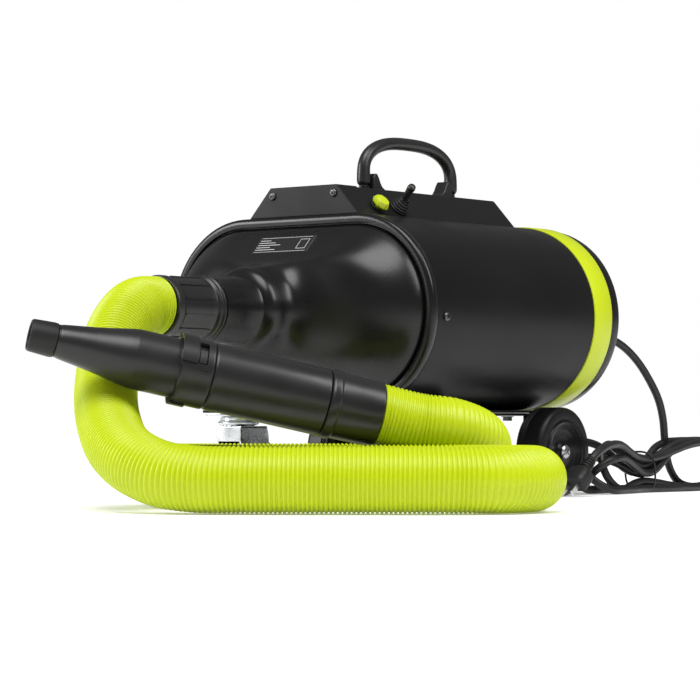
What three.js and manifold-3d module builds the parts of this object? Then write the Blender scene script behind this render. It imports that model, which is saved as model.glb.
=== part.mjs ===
// Twin-motor pet dryer: a wide blower casing on wheels, with its hose, handpiece and power cord.
// Millimetres, +Z up. The outlet faces -Y, and the side with the switches is +X.
import * as THREE from "three";
import { mergeVertices } from "three/addons/utils/BufferGeometryUtils.js";
import Module from "manifold-3d";

// ---- driving dimensions ----
const GAP = 0.3; // clearance between touching pieces
const CENTRE_X = 53; // the machine's centre plane, measured from the origin, is at -CENTRE_X
const CENTRE_Y = -44; // the casing's front edge is at -CENTRE_Y

const CASING_HALF_W = 175; // the casing's section is a stadium, 350 wide and 200 high
const CASING_HALF_H = 100;
const CASING_Z = 192; // centre of the casing above the floor
const CASING_FRONT_Y = 6;
const CASING_REAR_Y = 286;
const CASING_WALL = 1.5;
const RING_REAR_Y = 320;
const BACK_Y = 338; // flat back of the rear cover

const DOME_WALL = 3;
const SPOUT_END_Y = -150;
const SPOUT_R = 34;
const SPOUT_BORE_R = 30;
const CUFF_END_Y = -219;
const CUFF_R = 30.5;
const CUFF_BORE_R = 26;

const BOX_TOP_Z = 324; // top of the control box
const BOX_TOP_HALF_W = 44.5;
const BOX_FOOT_HALF_W = 73;
const BOX_FRONT_Y = 5.2;
const BOX_REAR_Y = 284;
const BOX_WALL = 1.5;

const BREAKER_Y = 49;
const TOGGLE_Y = 84;
const SWITCH_X = 64.2; // where both switches stand on the slanted side of the box
const TOGGLE_LEAN = -12; // degrees, towards the front

const HANDLE_FRONT_Y = 106.5; // centre of each leg of the handle
const HANDLE_REAR_Y = 261.5;
const HANDLE_PIVOT_Z = 338;
const HANDLE_TOP_Z = 380.5;
const HANDLE_R = 6.5;

const BASE_TOP_Z = CASING_Z - CASING_HALF_H - GAP;
const BASE_THICK = 2.6;
const BASE_BOTTOM_Z = BASE_TOP_Z - BASE_THICK;

const ROLLER_SIDES = 24; // a roller stands on one flat, so it doesn't creep
const REAR_WHEEL_R = 47.5; // from the axle to that flat
const REAR_WHEEL_Y = 251;
const REAR_WHEEL_OUT_X = 161;
const REAR_WHEEL_W = 34;
const REAR_AXLE_R = 5;
const CASTER_X = 113;
const CASTER_Y = 34;
const CASTER_TRAIL = 22;
const CASTER_WHEEL_R = 32;
const CASTER_WHEEL_W = 22;

const MOTOR_X = 84;
const MOTOR_CAN_R = 72;
const MOTOR_BODY_R = 46;
const BULKHEAD_Y = 150;

const HOSE_R = 29;
const HOSE_WALL = 2;
const HOSE_SIDES = 10;
const HOSE_STEPS = 64;
// Centreline of the hose: out of the spout, down to the floor, three runs side by side, then up
// into the handpiece.
const HOSE_ROUTE = [
  [0, -219.3, 192], [0, -226, 192], [1, -242, 191], [6, -262, 184], [14, -285, 169],
  [27, -309, 149], [46, -335, 123], [71, -363, 98], [101, -389, 75], [135, -412, 56],
  [170, -426, 43], [202, -427, 34], [232, -417, 30.5], [262, -399, 30], [339, -340, 30],
  [411, -283, 30], [434, -257, 30], [439, -222, 30], [424, -186, 30], [382, -165, 30],
  [336, -173, 30], [252, -237, 30], [166, -303, 30], [116, -316, 30], [70, -291, 30],
  [55, -242, 30], [83, -196, 30], [158, -146, 30], [223, -106, 30], [265, -90, 32],
  [298, -95, 49], [314, -121, 63], [307, -151, 73], [287, -173, 77], [264.7, -196.4, 84.7],
  [261, -201, 86],
];
const HAND_END = [261, -201, 86]; // where the hose enters the handpiece
const HAND_TIP = [60, -450, 158];

const CORD_R = 4.4;
const CORD_SIDES = 8;
const GLAND = [100, BACK_Y, 176];
const GLAND_LENGTH = 34;
const CORD_ROUTE = [
  [100, 372.6, 176], [100, 378, 176], [103, 390, 177], [110, 408, 174], [117, 430, 164],
  [123, 450, 148], [129, 470, 124], [134, 486, 98], [137, 496, 78], [138, 498, 68],
  [138, 498, 62.8],
];
const HANK = { x: 141, frontY: 308, rearY: 604, height: 62, thick: 47 };
const TIE_Y = 428;
const TIE_R = 1;
const PLUG_ENTRY = [190, 256, 38.5]; // where the lead enters the plug's strain relief
const PLUG_AIM = [0, -0.8, -0.6];
const LEAD_ROUTE = [
  [190, 256.4, 38.8], [190, 260.4, 41.8], [187.5, 278, 50], [181, 298, 52], [172, 313, 47.5],
  [167, 317.4, 45], [164.9, 317.4, 45],
];

// ---- materials ----
const paint = (color, roughness, metalness = 0) =>
  new THREE.MeshStandardMaterial({ color, roughness, metalness });
const black = paint(0x15151a, 0.42);
const satinBlack = paint(0x1b1b1e, 0.5);
const rubber = paint(0x101012, 0.8);
const lime = paint(0xb6dc0a, 0.45);
const zinc = paint(0xc4c7ca, 0.3, 0.9);
const steel = paint(0x9a9c9f, 0.35, 0.9);
const foam = paint(0x2a2c30, 0.95);
const cable = paint(0x2b2b2d, 0.55);

// ---- joining and cutting ----
const wasm = await Module();
wasm.setup();

function toSolid(geometry) {
  const plain = geometry.index ? geometry.toNonIndexed() : geometry.clone();
  plain.deleteAttribute("normal");
  plain.deleteAttribute("uv");
  const merged = mergeVertices(plain, 1e-3);
  return new wasm.Manifold(
    new wasm.Mesh({
      numProp: 3,
      vertProperties: merged.attributes.position.array,
      triVerts: new Uint32Array(merged.index.array),
    }),
  );
}

function toGeometry(body) {
  const mesh = body.getMesh();
  const geometry = new THREE.BufferGeometry();
  geometry.setAttribute("position", new THREE.BufferAttribute(mesh.vertProperties, 3));
  geometry.setIndex(new THREE.BufferAttribute(mesh.triVerts, 1));
  return geometry;
}

function join(...geometries) {
  return toGeometry(geometries.map(toSolid).reduce((a, b) => a.add(b)));
}

function cut(geometry, ...tools) {
  return toGeometry(tools.map(toSolid).reduce((a, b) => a.subtract(b), toSolid(geometry)));
}

// ---- shapes ----
// Six times the signed volume, to tell whether the faces of a closed geometry point out.
function facesPointOut(geometry) {
  const p = geometry.attributes.position;
  const [a, b, c] = [new THREE.Vector3(), new THREE.Vector3(), new THREE.Vector3()];
  let sum = 0;
  for (let i = 0; i < geometry.index.count; i += 3) {
    a.fromBufferAttribute(p, geometry.index.getX(i));
    b.fromBufferAttribute(p, geometry.index.getX(i + 1));
    c.fromBufferAttribute(p, geometry.index.getX(i + 2));
    sum += a.dot(b.cross(c));
  }
  return sum > 0;
}

function turnedOut(geometry) {
  if (facesPointOut(geometry)) return geometry;
  const index = geometry.index.array;
  for (let i = 0; i < index.length; i += 3) {
    [index[i + 1], index[i + 2]] = [index[i + 2], index[i + 1]];
  }
  return geometry;
}

// A stadium in the plane y: half width a, half height b, with round ends.
function stadium(a, b, y, z = CASING_Z, steps = 14) {
  const points = [];
  for (const side of [1, -1]) {
    for (let i = 0; i <= steps; i++) {
      const t = (side > 0 ? -90 : 90) + (180 * i) / steps;
      const angle = THREE.MathUtils.degToRad(t);
      points.push([side * (a - b) + b * Math.cos(angle), y, z + b * Math.sin(angle)]);
    }
  }
  return points;
}

// Skins a list of outlines that have the same number of points. The ends are capped, unless the
// last outline joins the first one again.
function skin(outlines, closed = false) {
  const n = outlines[0].length;
  const positions = outlines.flat(2);
  const index = [];
  const spans = closed ? outlines.length : outlines.length - 1;
  for (let k = 0; k < spans; k++) {
    const below = k * n;
    const above = ((k + 1) % outlines.length) * n;
    for (let i = 0; i < n; i++) {
      const j = (i + 1) % n;
      index.push(below + i, below + j, above + j, below + i, above + j, above + i);
    }
  }
  if (!closed) {
    const last = (outlines.length - 1) * n;
    for (let i = 1; i < n - 1; i++) {
      index.push(0, i + 1, i, last, last + i, last + i + 1);
    }
  }
  const geometry = new THREE.BufferGeometry();
  geometry.setAttribute("position", new THREE.Float32BufferAttribute(positions, 3));
  geometry.setIndex(index);
  return turnedOut(geometry);
}

function box(low, high) {
  const size = high.map((v, i) => v - low[i]);
  const middle = high.map((v, i) => (v + low[i]) / 2);
  return new THREE.BoxGeometry(...size).translate(...middle);
}

// A turned piece about +Z through the origin. The profile lists [radius, height] pairs.
function turned(profile, sides = 24, closed = true) {
  const points = profile.map(([r, h]) => new THREE.Vector2(r, h));
  if (closed) points.push(points[0].clone());
  const half = Math.PI / sides;
  const shape = new THREE.LatheGeometry(points, sides, half);
  const plain = shape.toNonIndexed();
  plain.deleteAttribute("normal");
  plain.deleteAttribute("uv");
  const merged = mergeVertices(plain, 1e-4);
  const used = [];
  const old = merged.index.array;
  for (let i = 0; i < old.length; i += 3) {
    const [a, b, c] = [old[i], old[i + 1], old[i + 2]];
    if (a !== b && b !== c && c !== a) used.push(a, b, c);
  }
  merged.setIndex(used);
  return turnedOut(merged).rotateX(Math.PI / 2);
}

// The same, about +Y and about +X.
const turnedY = (...args) => turned(...args).rotateX(-Math.PI / 2);
const turnedX = (...args) => turned(...args).rotateY(Math.PI / 2);

// An outline of [u, v] pairs, with round holes of [u, v, radius], extruded along +Z.
function plate(outline, thickness, holes = []) {
  const shape = new THREE.Shape(outline.map(([u, v]) => new THREE.Vector2(u, v)));
  for (const [u, v, r] of holes) {
    shape.holes.push(new THREE.Path().absarc(u, v, r, 0, 2 * Math.PI, true));
  }
  return new THREE.ExtrudeGeometry(shape, {
    depth: thickness,
    bevelEnabled: false,
    curveSegments: 8,
  });
}

// A plate whose [u, v] are x and z, from y = low to y = high.
function plateXZ(outline, low, high, holes) {
  return plate(outline, high - low, holes).rotateX(Math.PI / 2).translate(0, high, 0);
}

// A plate whose [u, v] are y and z, from x = low to x = high.
function plateYZ(outline, low, high, holes) {
  return plate(outline, high - low, holes)
    .rotateY(Math.PI / 2)
    .rotateX(Math.PI / 2)
    .translate(low, 0, 0);
}

// A round rod or tube along a smooth curve through the points.
function rod(points, radius, sides, steps, boreRadius = 0) {
  const around = (r) => {
    const corners = [];
    for (let i = 0; i < sides; i++) {
      const t = (2 * Math.PI * i) / sides;
      corners.push(new THREE.Vector2(r * Math.cos(t), r * Math.sin(t)));
    }
    return corners;
  };
  const section = new THREE.Shape(around(radius));
  if (boreRadius) section.holes.push(new THREE.Path(around(boreRadius)));
  const curve = new THREE.CatmullRomCurve3(
    points.map((p) => new THREE.Vector3(...p)),
    false,
    "centripetal",
  );
  return new THREE.ExtrudeGeometry(section, { steps, extrudePath: curve, bevelEnabled: false });
}

function arc(cx, cy, r, fromDegrees, toDegrees, steps) {
  const points = [];
  for (let i = 0; i <= steps; i++) {
    const t = THREE.MathUtils.degToRad(fromDegrees + ((toDegrees - fromDegrees) * i) / steps);
    points.push([cx + r * Math.cos(t), cy + r * Math.sin(t)]);
  }
  return points;
}

const machine = new THREE.Group();
machine.position.set(-CENTRE_X, -CENTRE_Y, 0);

function add(name, geometry, material, parent = machine) {
  const mesh = new THREE.Mesh(geometry, material);
  mesh.name = name;
  parent.add(mesh);
  return mesh;
}

// ---- casing ----
function casingWrap() {
  const [a, b, t] = [CASING_HALF_W, CASING_HALF_H, CASING_WALL];
  return skin(
    [
      stadium(a, b, CASING_FRONT_Y),
      stadium(a, b, CASING_REAR_Y),
      stadium(a - t, b - t, CASING_REAR_Y),
      stadium(a - t, b - t, CASING_FRONT_Y),
    ],
    true,
  );
}

// Half width, half height and y of the dome, from its root to its flat nose.
const DOME = [
  [164, 90, 1], [163, 88, -4], [159, 80.5, -12], [151, 72, -22], [139, 63, -32],
  [124, 55.5, -40], [104, 50.5, -46], [84, 48.5, -49],
];

function frontCover() {
  const t = DOME_WALL;
  const outerDome = skin([...DOME].map(([a, b, y]) => stadium(a, b, y)));
  const innerRoot = stadium(DOME[0][0] - t, DOME[0][1] - t, CASING_FRONT_Y + 2);
  const innerDome = skin([
    innerRoot,
    ...DOME.slice(1).map(([a, b, y]) => stadium(a - t, b - t, y + t)),
  ]);
  const flange = skin([
    stadium(CASING_HALF_W + 0.3, CASING_HALF_H + 0.3, CASING_FRONT_Y - GAP),
    stadium(CASING_HALF_W + 0.3, CASING_HALF_H + 0.3, -1),
    stadium(CASING_HALF_W - 2.2, CASING_HALF_H - 2.2, -3.5),
    stadium(DOME[0][0] + 3, DOME[0][1] + 3, -3.5),
    stadium(DOME[0][0] + 1, DOME[0][1] + 1, 0),
    stadium(DOME[0][0] - 1, DOME[0][1] - 1, 0),
    stadium(DOME[0][0] - 1, DOME[0][1] - 1, CASING_FRONT_Y - GAP),
  ], true);
  const bore = turnedY([[0, 40], [SPOUT_BORE_R, 40], [SPOUT_BORE_R, 60], [0, 60]], 24, false)
    .rotateX(Math.PI)
    .translate(0, 0, CASING_Z);
  return cut(join(outerDome, flange), innerDome, bore);
}

// The outlet, with a broad foot on the dome's nose and a neck that takes the hose's cuff.
function spout() {
  const foot = -DOME.at(-1)[2] + GAP;
  return turnedY(
    [
      [SPOUT_BORE_R, foot], [57, foot], [53, 53], [48, 60], [46, 70], [44, 80], [38, 90],
      [SPOUT_R, 97], [SPOUT_R, -SPOUT_END_Y], [SPOUT_BORE_R, -SPOUT_END_Y],
    ],
    24,
  ).rotateX(Math.PI).translate(0, 0, CASING_Z);
}

function rearRing() {
  const [a, b] = [CASING_HALF_W, CASING_HALF_H];
  const [low, high] = [CASING_REAR_Y + GAP, RING_REAR_Y];
  return skin(
    [
      stadium(a - 0.6, b - 0.6, low),
      stadium(a + 1.2, b + 1.2, low + 2),
      stadium(a + 1.2, b + 1.2, high - 3),
      stadium(a - 0.6, b - 0.6, high),
      stadium(a - 8, b - 8, high),
      stadium(a - 8, b - 8, low),
    ],
    true,
  );
}

const VENT_HALF = 62; // the two round vent fields
const VENT_ROWS = 7;

function rearCover() {
  const [a, b] = [CASING_HALF_W - 0.7, CASING_HALF_H - 0.7];
  const low = RING_REAR_Y + GAP;
  const shell = skin([
    stadium(a, b, low),
    stadium(a, b, BACK_Y - 4.5),
    stadium(a - 1.6, b - 1.6, BACK_Y - 1.6),
    stadium(a - 5, b - 5, BACK_Y),
  ]);
  const hollow = skin([
    stadium(a - 7.8, b - 7.8, low - 1),
    stadium(a - 7.8, b - 7.8, BACK_Y - 7),
    stadium(a - 11, b - 11, BACK_Y - 3.5),
  ]);
  const slots = [];
  for (const side of [-1, 1]) {
    for (let row = 0; row < VENT_ROWS; row++) {
      const z = (row - (VENT_ROWS - 1) / 2) * 15;
      const half = Math.sqrt(VENT_HALF ** 2 - z ** 2);
      const x = side * MOTOR_X;
      slots.push(box(
        [x - half, BACK_Y - 6, CASING_Z + z - 3.5],
        [x + half, BACK_Y + 1, CASING_Z + z + 3.5],
      ));
    }
  }
  return cut(shell, hollow, ...slots);
}

function filterFoam() {
  return skin([
    stadium(CASING_HALF_W - 9, CASING_HALF_H - 9, RING_REAR_Y - 14, CASING_Z, 8),
    stadium(CASING_HALF_W - 9, CASING_HALF_H - 9, RING_REAR_Y - 1, CASING_Z, 8),
  ]);
}

function motorBulkhead() {
  const reach = CASING_WALL + 0.4;
  const sheet = skin([
    stadium(CASING_HALF_W - reach, CASING_HALF_H - reach, BULKHEAD_Y, CASING_Z, 14),
    stadium(CASING_HALF_W - reach, CASING_HALF_H - reach, BULKHEAD_Y + 2, CASING_Z, 14),
  ]);
  const r = MOTOR_BODY_R + GAP;
  const holes = [-1, 1].map((side) =>
    turnedY([[0, -5], [r, -5], [r, 8], [0, 8]], 24, false)
      .translate(side * MOTOR_X, BULKHEAD_Y, CASING_Z));
  return cut(sheet, ...holes);
}

// A fan can open at the front, with the motor's body behind it through the bulkhead.
function motorShell() {
  const back = -GAP;
  const wall = 2.5;
  const front = -78;
  return turnedY(
    [
      [0, 90], [MOTOR_BODY_R - 2, 90], [MOTOR_BODY_R, 86], [MOTOR_BODY_R, back],
      [MOTOR_CAN_R, back], [MOTOR_CAN_R, front], [30, front], [30, front + wall],
      [MOTOR_CAN_R - wall, front + wall], [MOTOR_CAN_R - wall, back - wall],
      [7, back - wall], [7, 50], [0, 50],
    ],
    24,
    false,
  );
}

function fanRotor() {
  const shaft = turnedY([[0, -60], [6, -60], [6, 46], [0, 46]], 12, false);
  const disc = turnedY([[0, -52], [12, -52], [20, -48], [64, -46], [64, -43], [0, -43]], 24, false);
  const blades = [];
  for (let i = 0; i < 6; i++) {
    blades.push(box([14, -45, -1.2], [62, -20, 1.2]).rotateY((i * Math.PI) / 3));
  }
  return join(shaft, disc, ...blades);
}

// ---- control box ----
const SLOPE_X = BOX_FOOT_HALF_W - BOX_TOP_HALF_W;
const BOX_FOOT_Z = CASING_Z + CASING_HALF_H + 0.5;
const SLOPE_Z = BOX_TOP_Z - BOX_FOOT_Z;
const SLOPE_TILT = Math.atan2(SLOPE_X, SLOPE_Z); // of the slanted side's normal above +X

function controlBox() {
  const w = BOX_WALL;
  const outside = [
    [-BOX_FOOT_HALF_W, BOX_FOOT_Z], [BOX_FOOT_HALF_W, BOX_FOOT_Z],
    [BOX_TOP_HALF_W, BOX_TOP_Z], [-BOX_TOP_HALF_W, BOX_TOP_Z],
  ];
  const inset = w / Math.cos(SLOPE_TILT);
  const inside = [
    [-BOX_FOOT_HALF_W + inset - 1, BOX_FOOT_Z - 1], [BOX_FOOT_HALF_W - inset + 1, BOX_FOOT_Z - 1],
    [BOX_TOP_HALF_W - inset / 2, BOX_TOP_Z - w], [-BOX_TOP_HALF_W + inset / 2, BOX_TOP_Z - w],
  ];
  const body = plateXZ(outside, BOX_FRONT_Y + 3, BOX_REAR_Y);
  const room = plateXZ(inside, BOX_FRONT_Y + 2, BOX_REAR_Y - 2);
  const holes = [BREAKER_Y, TOGGLE_Y].map((y) =>
    onSlope(turned([[0, -8], [6.2, -8], [6.2, 8], [0, 8]], 16, false), y));
  return cut(body, room, ...holes);
}

// Moves a piece that stands on +Z at the origin to the slanted side of the box.
function onSlope(geometry, y) {
  const z = BOX_TOP_Z - ((SWITCH_X - BOX_TOP_HALF_W) / SLOPE_X) * SLOPE_Z;
  return geometry.rotateY(Math.PI / 2 - SLOPE_TILT).translate(SWITCH_X, y, z);
}

function controlBoxFront() {
  const outline = [
    [-BOX_FOOT_HALF_W, BOX_FOOT_Z], [BOX_FOOT_HALF_W, BOX_FOOT_Z],
    [BOX_TOP_HALF_W, BOX_TOP_Z], [-BOX_TOP_HALF_W, BOX_TOP_Z],
  ];
  const screws = [-1, 1].map((side) => [side * 41, BOX_TOP_Z - 9, 2.4]);
  return plateXZ(outline, BOX_FRONT_Y, BOX_FRONT_Y + 3 - GAP, screws);
}

const screwHead = (r) => [
  [0, 0], [2, 0], [2, 2.6], [r, 2.6], [r, 3.6], [r * 0.7, 5], [0, 5.4],
];

function breakerBezel() {
  return turned([[6.4, 0.3], [8.8, 0.3], [8.8, 1], [8.2, 1.5], [6.4, 1.5]], 16);
}

function breakerButton() {
  return turned(
    [[0, -6], [5.4, -6], [5.4, 3.8], [10, 3.8], [10, 5.6], [8.2, 9.6], [6.4, 10.8], [0, 10.8]],
    8,
    false,
  );
}

function toggleBoot() {
  return turned([
    [7, 0.3], [11, 0.3], [11, 3], [10, 4.5], [10, 6.5], [8.6, 8], [8.6, 10], [7, 12], [7, 8],
  ], 20);
}

function toggleLever() {
  const lever = turned(
    [[0, -6], [3, -4], [3, 6], [2.3, 12], [2.6, 24], [3.6, 30], [3.4, 33], [0, 34.5]],
    10,
    false,
  );
  return lever.rotateX(THREE.MathUtils.degToRad(-TOGGLE_LEAN));
}

// ---- handle ----
const EAR_THICK = 4.4;
const TAB_THICK = 5;

function handleEars(side) {
  const legY = side < 0 ? HANDLE_FRONT_Y : HANDLE_REAR_Y;
  const outer = legY - side * 2.4;
  return side < 0 ? [outer, outer + EAR_THICK] : [outer - EAR_THICK, outer];
}

function handleBracket() {
  const low = BOX_TOP_Z + GAP;
  const strip = box([-12, HANDLE_FRONT_Y - 6, low], [12, HANDLE_REAR_Y + 6, low + 2.4]);
  const ears = [-1, 1].map((side) => {
    const [near, far] = handleEars(side);
    const outline = [[-11, low], [11, low], [9, low + 4],
      ...arc(0, HANDLE_PIVOT_Z, 7.4, 0, 180, 8), [-9, low + 4]];
    return plateXZ(outline, near, far, [[0, HANDLE_PIVOT_Z, 2.8]]);
  });
  return join(strip, ...ears);
}

function handleGrip() {
  const middle = (HANDLE_FRONT_Y + HANDLE_REAR_Y) / 2;
  const half = (HANDLE_REAR_Y - HANDLE_FRONT_Y) / 2;
  const foot = HANDLE_PIVOT_Z + 9;
  const points = [];
  for (let i = 0; i <= 16; i++) {
    const t = (Math.PI * i) / 16;
    const across = Math.sign(Math.cos(t)) * Math.abs(Math.cos(t)) ** 0.72;
    const up = Math.abs(Math.sin(t)) ** 0.8;
    points.push([0, middle - half * across, foot + (HANDLE_TOP_Z - foot) * up]);
  }
  const tube = rod(points, HANDLE_R, 10, 30);
  const tabs = [-1, 1].map((side) => {
    const legY = side < 0 ? HANDLE_FRONT_Y : HANDLE_REAR_Y;
    const face = legY - side * 2.4 + side * GAP;
    const [low, high] = side < 0 ? [face - TAB_THICK, face] : [face, face + TAB_THICK];
    const outline = [...arc(0, HANDLE_PIVOT_Z, 6, 180, 360, 8), [6, foot + 6], [-6, foot + 6]];
    return plateXZ(outline, low, high, [[0, HANDLE_PIVOT_Z, 2.8]]);
  });
  return join(tube, ...tabs);
}

function handlePin(side) {
  const legY = side < 0 ? HANDLE_FRONT_Y : HANDLE_REAR_Y;
  const pin = turnedY(
    [[0, -6.5], [2.5, -6.5], [2.5, 3.5], [4, 3.5], [4, 5.4], [0, 5.4]],
    12,
    false,
  );
  if (side < 0) pin.rotateX(Math.PI);
  return pin.translate(0, legY, HANDLE_PIVOT_Z);
}

// ---- running gear ----
const BRACKET_IN_X = 114;
const BRACKET_OUT_X = 118;
const FLANGE_IN_X = 92;

function basePlate() {
  const [wide, narrow, step] = [141, 118, 84];
  const outline = [
    [-wide, 8], [wide, 8], [wide, step], [narrow, step + 14], [narrow, 282],
    [-narrow, 282], [-narrow, step + 14], [-wide, step],
  ];
  return plate(outline, BASE_THICK).translate(0, 0, BASE_BOTTOM_Z);
}

const AXLE_Z = REAR_WHEEL_R;

function axleBracket(side) {
  const top = BASE_BOTTOM_Z - GAP;
  const cheek = [
    [REAR_WHEEL_Y - 12, top],
    ...arc(REAR_WHEEL_Y, AXLE_Z, 12, 180, 360, 8),
    [REAR_WHEEL_Y + 30, top - 6], [REAR_WHEEL_Y + 30, top],
  ];
  const hole = [REAR_WHEEL_Y, AXLE_Z, REAR_AXLE_R + GAP];
  const upright = plateYZ(cheek, BRACKET_IN_X, BRACKET_OUT_X, [hole]);
  const flange = box(
    [FLANGE_IN_X, REAR_WHEEL_Y - 44, top - 3],
    [BRACKET_OUT_X, REAR_WHEEL_Y + 30, top],
  );
  const piece = join(upright, flange);
  return side > 0 ? piece : mirrored(piece);
}

// The mirror image across the centre plane, with its faces turned back out.
function mirrored(geometry) {
  return turnedOut(geometry.scale(-1, 1, 1));
}

function bolt() {
  return turned([[0, -5], [5.4, -5], [5.4, -0.8], [7.5, -0.8], [7.5, 0], [0, 0]], 6, false);
}

const flatR = (r) => r / Math.cos(Math.PI / ROLLER_SIDES);

// Profiles of the rear wheel, from its inner face to its outer face along +X.
function rearTyre() {
  const r = flatR(REAR_WHEEL_R);
  const w = REAR_WHEEL_W;
  return turnedX([
    [33, 1], [41, 0], [r - 2, 0.6], [r, 2.4], [r, w - 4.5], [r - 1, w - 2], [r - 3.5, w - 0.4],
    [40, w], [33, w - 0.6],
  ], ROLLER_SIDES);
}

function rearHub() {
  const w = REAR_WHEEL_W;
  const bore = REAR_AXLE_R + GAP;
  return turnedX([
    [bore, -6.5], [12, -6.5], [12, 3], [28, 5], [32.7, 2], [32.7, w - 0.8], [31, w],
    [29.5, w - 0.6], [26, w - 3.5], [14, w - 5.5], [11.5, w - 4], [10.5, w - 1.8],
    [bore, w - 1.8],
  ], ROLLER_SIDES);
}

function casterFork() {
  const top = BASE_BOTTOM_Z - GAP - 3 - GAP; // under the caster's plate
  const axleZ = CASTER_WHEEL_R;
  const race = turned([[0, top - 9], [17, top - 9], [22, top - 5], [22, top - 1.5],
    [20, top], [0, top]], 20, false);
  const roof = box([-17, -16, top - 12], [17, 30, top - 8.6]);
  const cheek = [
    [-16, top - 9], [-16, top - 24], [CASTER_TRAIL - 7, axleZ - 4],
    ...arc(CASTER_TRAIL, axleZ, 7.5, 210, 360, 6), [30, top - 14], [30, top - 9],
  ];
  const hole = [CASTER_TRAIL, axleZ, 4 + GAP];
  const cheeks = [plateYZ(cheek, -17, -14.4, [hole]), plateYZ(cheek, 14.4, 17, [hole])];
  const front = box([-17, -16, top - 24], [17, -13.4, top - 9]);
  return join(race, roof, front, ...cheeks);
}

function casterWheel() {
  const r = flatR(CASTER_WHEEL_R);
  const w = CASTER_WHEEL_W / 2;
  const bore = 4 + GAP;
  return turnedX([
    [bore, -w - 1.5], [9, -w - 1.5], [11, -w + 3], [22, -w + 3], [24, -w], [r - 2.5, -w],
    [r, -w + 3], [r, w - 3], [r - 2.5, w], [24, w], [22, w - 3], [11, w - 3], [9, w + 1.5],
    [bore, w + 1.5],
  ], ROLLER_SIDES);
}

// ---- hose cuff and handpiece ----
function outletCuff() {
  const [start, end] = [-SPOUT_END_Y + GAP, -CUFF_END_Y];
  return turnedY([
    [CUFF_BORE_R, start], [33.6, start], [33.6, start + 3], [31.4, start + 4.5],
    [31.4, start + 6], [33.2, start + 7.5], [33.2, start + 10], [CUFF_R, start + 12],
    [CUFF_R - 0.4, end], [CUFF_BORE_R, end],
  ], 24).rotateX(Math.PI).translate(0, 0, CASING_Z);
}

// Stations along the handpiece, from the hose's end.
const HAND = { ring: 42, tube: 51.7, collar: 161.3, nozzle: 192, shoulder: 232, tip: 303 };
const HAND_R = 31;

function handCuff() {
  return turned([
    [26, 0], [30.2, 0], [30.6, HAND.ring], [31.8, HAND.ring + 2], [31.8, HAND.tube - 2],
    [30.4, HAND.tube - GAP], [26, HAND.tube - GAP],
  ], 24);
}

function handTube() {
  return turned([
    [27.2, HAND.tube], [HAND_R - 0.8, HAND.tube], [HAND_R, HAND.tube + 1.5],
    [HAND_R, HAND.collar - 1.5], [HAND_R - 0.8, HAND.collar - GAP], [27.2, HAND.collar - GAP],
  ], 24);
}

const LUG_AT = 29; // degrees about the handpiece, measured from its side
const LUG_HALF = 13;
const LUG_SWEEP = 15;
const LUG_Z = HAND.collar + 11.5;

// A sector of a ring about +Z: radii, heights and angles.
function sector(inner, outer, low, high, from, to) {
  const steps = Math.max(2, Math.round((to - from) / 6));
  const outline = [...arc(0, 0, outer, from, to, steps), ...arc(0, 0, inner, to, from, steps)];
  return plate(outline, high - low).translate(0, 0, low);
}

function bayonetCollar() {
  const ring = turned([
    [28.6, HAND.collar], [HAND_R, HAND.collar], [HAND_R + 0.4, HAND.collar + 2],
    [HAND_R + 0.4, HAND.nozzle - 3], [HAND_R, HAND.nozzle - GAP], [28.6, HAND.nozzle - GAP],
  ], 24);
  const slots = [0, 180].map((turn) =>
    sector(
      25, 35, LUG_Z - 4.5, LUG_Z + 4.5,
      LUG_AT + turn - LUG_HALF - 2, LUG_AT + turn + LUG_SWEEP + LUG_HALF + 2,
    ));
  return cut(ring, ...slots);
}

function nozzle() {
  const body = turned([
    [24.5, HAND.collar + 4], [27.6, HAND.collar + 4], [27.6, HAND.nozzle],
    [27.6, HAND.shoulder], [25.6, HAND.shoulder + 14], [21.6, HAND.shoulder + 34],
    [18, HAND.shoulder + 54], [16, HAND.tip - GAP], [12.4, HAND.tip - GAP],
    [15, HAND.shoulder + 54], [22, HAND.shoulder + 16], [24.5, HAND.shoulder],
  ], 24);
  const lugs = [0, 180].map((turn) =>
    sector(
      26, 30.4, LUG_Z - 3.2, LUG_Z + 3.2,
      LUG_AT + turn - LUG_HALF, LUG_AT + turn + LUG_HALF,
    ));
  return join(body, ...lugs);
}

function nozzleTip() {
  const end = HAND_LENGTH;
  return turned([
    [12.4, HAND.tip], [15.7, HAND.tip], [15.5, end - 3], [14.2, end], [12, end],
  ], 24);
}

// ---- power cord ----
function cableGland() {
  return turnedY([
    [0, GAP], [11, GAP], [11, 6], [8, 8], [6, GLAND_LENGTH], [0, GLAND_LENGTH],
  ], 14, false).translate(...GLAND);
}

function hankSolid() {
  const r = HANK.height / 2;
  const outline = [
    ...arc(HANK.frontY + r, r + 0.2, r, 90, 270, 10),
    ...arc(HANK.rearY - r, r + 0.2, r, -90, 90, 10),
  ];
  return plateYZ(outline, HANK.x - HANK.thick / 2, HANK.x + HANK.thick / 2);
}

// A wire loop laid round the hank, rectangular with its corners cut.
function cordTie() {
  const outer = HANK.thick / 2 + GAP + 2 * TIE_R;
  const inner = HANK.thick / 2 + GAP;
  const low = 0.2;
  const high = HANK.height + GAP + low;
  const ring = (half, bottom, top) => [
    [-half, bottom], [half, bottom], [half, top], [-half, top],
  ];
  const body = plateXZ(ring(outer, high - 6, high + 2 * TIE_R), TIE_Y - TIE_R, TIE_Y + TIE_R);
  const legs = plateXZ(ring(outer, low, high), TIE_Y - TIE_R, TIE_Y + TIE_R);
  const room = plateXZ(ring(inner, low - 1, high), TIE_Y - 5, TIE_Y + 5);
  return cut(join(body, legs), room).translate(HANK.x, 0, 0);
}

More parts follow.
